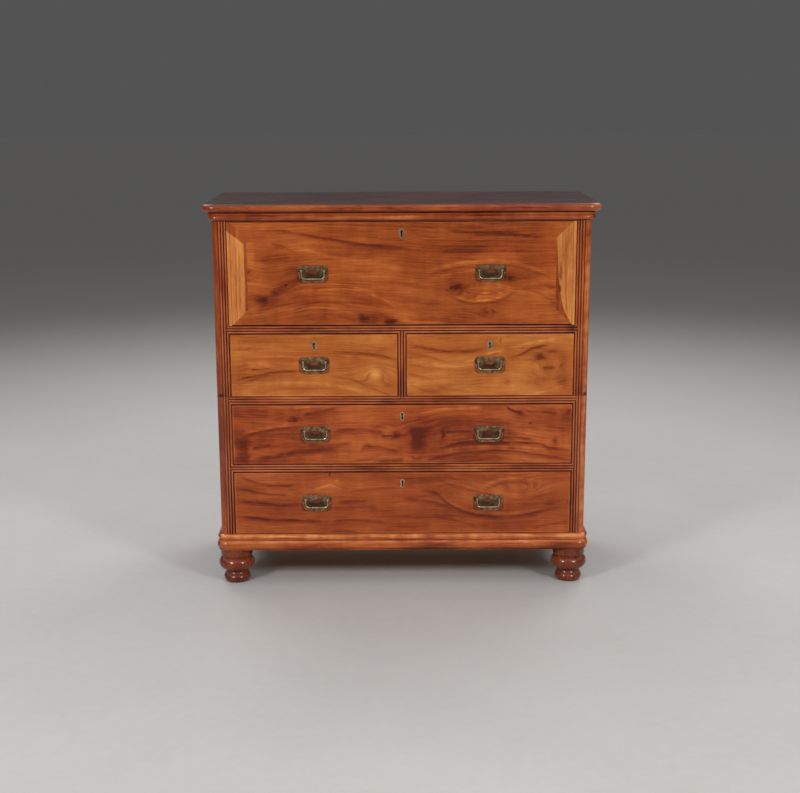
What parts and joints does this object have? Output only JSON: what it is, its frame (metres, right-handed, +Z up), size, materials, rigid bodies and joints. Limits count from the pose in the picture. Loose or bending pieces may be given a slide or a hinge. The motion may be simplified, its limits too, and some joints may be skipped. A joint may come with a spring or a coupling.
{
  "type": "campaign chest of drawers",
  "caption": "Campaign chest in two stacked halves with a fall-front writing drawer, long and short drawers, flush drop handles, reeded posts and turned feet.",
  "frame": {"origin": "middle of the bounding box's bottom face, on the floor that the feet stand on", "axes": "+X to the chest's right seen from the front, +Y from the front to the back, +Z up"},
  "size_m": [1.1, 0.46, 1.096],
  "materials": {
    "camphor": "french polished",
    "camphor_light": "plain planed",
    "camphor_dark": "french polished",
    "sapwood": "french polished",
    "antique_brass": "dull antique",
    "writing_leather": "satin"
  },
  "bodies": {
    "lower_case": {"lower_sides": "camphor", "lower_posts": "camphor_dark", "lower_rails": "camphor_dark", "lower_dust_frames": "camphor_light", "lower_bottom": "camphor_light", "lower_back": "camphor_light", "plinth": "camphor_dark", "feet": "camphor_dark", "locating_dowels": "camphor_dark", "lower_side_plates": "antique_brass"},
    "upper_case": {"top_board": "camphor", "cornice": "camphor_dark", "upper_sides": "camphor", "upper_posts": "camphor_dark", "upper_rails": "camphor_dark", "upper_divider": "camphor_dark", "upper_dust_frames": "camphor_light", "upper_bottom": "camphor_light", "upper_back": "camphor_light", "upper_side_plates": "antique_brass"},
    "desk_drawer": {"desk_box": "camphor_light", "desk_floor": "camphor", "pigeonholes": "camphor_light"},
    "fall": {"fall_panel": "camphor", "fall_clamps": "sapwood", "writing_leather": "writing_leather", "quadrant_stays": "antique_brass", "fall_brass": "antique_brass"},
    "side_bail_lower_left": {"side_bail_lower_left": "antique_brass"},
    "side_bail_lower_right": {"side_bail_lower_right": "antique_brass"},
    "side_bail_upper_left": {"side_bail_upper_left": "antique_brass"},
    "side_bail_upper_right": {"side_bail_upper_right": "antique_brass"},
    "pen_drawer_left": {"pen_drawer_left": "camphor"},
    "pen_drawer_centre": {"pen_drawer_centre": "camphor"},
    "pen_drawer_right": {"pen_drawer_right": "camphor"},
    "fall_bail_left": {"fall_bail_left": "antique_brass"},
    "fall_bail_right": {"fall_bail_right": "antique_brass"},
    "fall_bolt": {"fall_bolt": "antique_brass"},
    "short_left_drawer": {"short_left_front": "camphor", "short_left_box": "camphor_light", "short_left_brass": "antique_brass"},
    "short_left_bolt": {"short_left_bolt": "antique_brass"},
    "short_left_bail": {"short_left_bail": "antique_brass"},
    "short_right_drawer": {"short_right_front": "camphor", "short_right_box": "camphor_light", "short_right_brass": "antique_brass"},
    "short_right_bolt": {"short_right_bolt": "antique_brass"},
    "short_right_bail": {"short_right_bail": "antique_brass"},
    "long_upper_drawer": {"long_upper_front": "camphor", "long_upper_box": "camphor_light", "long_upper_brass": "antique_brass"},
    "long_upper_bolt": {"long_upper_bolt": "antique_brass"},
    "long_upper_bail_left": {"long_upper_bail_left": "antique_brass"},
    "long_upper_bail_right": {"long_upper_bail_right": "antique_brass"},
    "long_lower_drawer": {"long_lower_front": "camphor", "long_lower_box": "camphor_light", "long_lower_brass": "antique_brass"},
    "long_lower_bolt": {"long_lower_bolt": "antique_brass"},
    "long_lower_bail_left": {"long_lower_bail_left": "antique_brass"},
    "long_lower_bail_right": {"long_lower_bail_right": "antique_brass"}
  },
  "joints": [
    {"name": "upper_case_lift", "type": "slide", "parent": "lower_case", "child": "upper_case", "axis": [0, 0, 1], "range_m": [0, 0.06]},
    {"name": "desk_drawer_slide", "type": "slide", "parent": "upper_case", "child": "desk_drawer", "axis": [0, -1, 0], "range_m": [0, 0.24]},
    {"name": "fall_hinge", "type": "hinge", "parent": "desk_drawer", "child": "fall", "pos_m": [0, -0.1972, 0.7639], "axis": [1, 0, 0], "range_deg": [0, 90]},
    {"name": "fall_bail_left_swing", "type": "hinge", "parent": "fall", "child": "fall_bail_left", "pos_m": [-0.246, -0.2013, 0.9115], "axis": [-1, 0, 0], "range_deg": [0, 95]},
    {"name": "fall_bail_right_swing", "type": "hinge", "parent": "fall", "child": "fall_bail_right", "pos_m": [0.246, -0.2013, 0.9115], "axis": [-1, 0, 0], "range_deg": [0, 95]},
    {"name": "fall_bolt_throw", "type": "slide", "parent": "fall", "child": "fall_bolt", "axis": [0, 0, 1], "range_m": [0, 0.007]},
    {"name": "pen_drawer_left_slide", "type": "slide", "parent": "desk_drawer", "child": "pen_drawer_left", "axis": [0, -1, 0], "range_m": [0, 0.12]},
    {"name": "pen_drawer_centre_slide", "type": "slide", "parent": "desk_drawer", "child": "pen_drawer_centre", "axis": [0, -1, 0], "range_m": [0, 0.12]},
    {"name": "pen_drawer_right_slide", "type": "slide", "parent": "desk_drawer", "child": "pen_drawer_right", "axis": [0, -1, 0], "range_m": [0, 0.12]},
    {"name": "short_left_drawer_slide", "type": "slide", "parent": "upper_case", "child": "short_left_drawer", "axis": [0, -1, 0], "range_m": [0, 0.32]},
    {"name": "short_left_bail_swing", "type": "hinge", "parent": "short_left_drawer", "child": "short_left_bail", "pos_m": [-0.246, -0.2013, 0.654], "axis": [-1, 0, 0], "range_deg": [0, 95]},
    {"name": "short_left_bolt_throw", "type": "slide", "parent": "short_left_drawer", "child": "short_left_bolt", "axis": [0, 0, 1], "range_m": [0, 0.007]},
    {"name": "short_right_drawer_slide", "type": "slide", "parent": "upper_case", "child": "short_right_drawer", "axis": [0, -1, 0], "range_m": [0, 0.32]},
    {"name": "short_right_bail_swing", "type": "hinge", "parent": "short_right_drawer", "child": "short_right_bail", "pos_m": [0.246, -0.2013, 0.654], "axis": [-1, 0, 0], "range_deg": [0, 95]},
    {"name": "short_right_bolt_throw", "type": "slide", "parent": "short_right_drawer", "child": "short_right_bolt", "axis": [0, 0, 1], "range_m": [0, 0.007]},
    {"name": "long_upper_drawer_slide", "type": "slide", "parent": "lower_case", "child": "long_upper_drawer", "axis": [0, -1, 0], "range_m": [0, 0.32]},
    {"name": "long_upper_bail_left_swing", "type": "hinge", "parent": "long_upper_drawer", "child": "long_upper_bail_left", "pos_m": [-0.246, -0.2013, 0.454], "axis": [-1, 0, 0], "range_deg": [0, 95]},
    {"name": "long_upper_bail_right_swing", "type": "hinge", "parent": "long_upper_drawer", "child": "long_upper_bail_right", "pos_m": [0.246, -0.2013, 0.454], "axis": [-1, 0, 0], "range_deg": [0, 95]},
    {"name": "long_upper_bolt_throw", "type": "slide", "parent": "long_upper_drawer", "child": "long_upper_bolt", "axis": [0, 0, 1], "range_m": [0, 0.007]},
    {"name": "long_lower_drawer_slide", "type": "slide", "parent": "lower_case", "child": "long_lower_drawer", "axis": [0, -1, 0], "range_m": [0, 0.32]},
    {"name": "long_lower_bail_left_swing", "type": "hinge", "parent": "long_lower_drawer", "child": "long_lower_bail_left", "pos_m": [-0.246, -0.2013, 0.2515], "axis": [-1, 0, 0], "range_deg": [0, 95]},
    {"name": "long_lower_bail_right_swing", "type": "hinge", "parent": "long_lower_drawer", "child": "long_lower_bail_right", "pos_m": [0.246, -0.2013, 0.2515], "axis": [-1, 0, 0], "range_deg": [0, 95]},
    {"name": "long_lower_bolt_throw", "type": "slide", "parent": "long_lower_drawer", "child": "long_lower_bolt", "axis": [0, 0, 1], "range_m": [0, 0.007]},
    {"name": "side_bail_lower_left_swing", "type": "hinge", "parent": "lower_case", "child": "side_bail_lower_left", "pos_m": [-0.52183, 0.0135, 0.39405], "axis": [0, 1, 0], "range_deg": [0, 95]},
    {"name": "side_bail_lower_right_swing", "type": "hinge", "parent": "lower_case", "child": "side_bail_lower_right", "pos_m": [0.52183, 0.0135, 0.39405], "axis": [0, -1, 0], "range_deg": [0, 95]},
    {"name": "side_bail_upper_left_swing", "type": "hinge", "parent": "upper_case", "child": "side_bail_upper_left", "pos_m": [-0.52183, 0.0135, 0.83295], "axis": [0, 1, 0], "range_deg": [0, 95]},
    {"name": "side_bail_upper_right_swing", "type": "hinge", "parent": "upper_case", "child": "side_bail_upper_right", "pos_m": [0.52183, 0.0135, 0.83295], "axis": [0, -1, 0], "range_deg": [0, 95]}
  ]
}
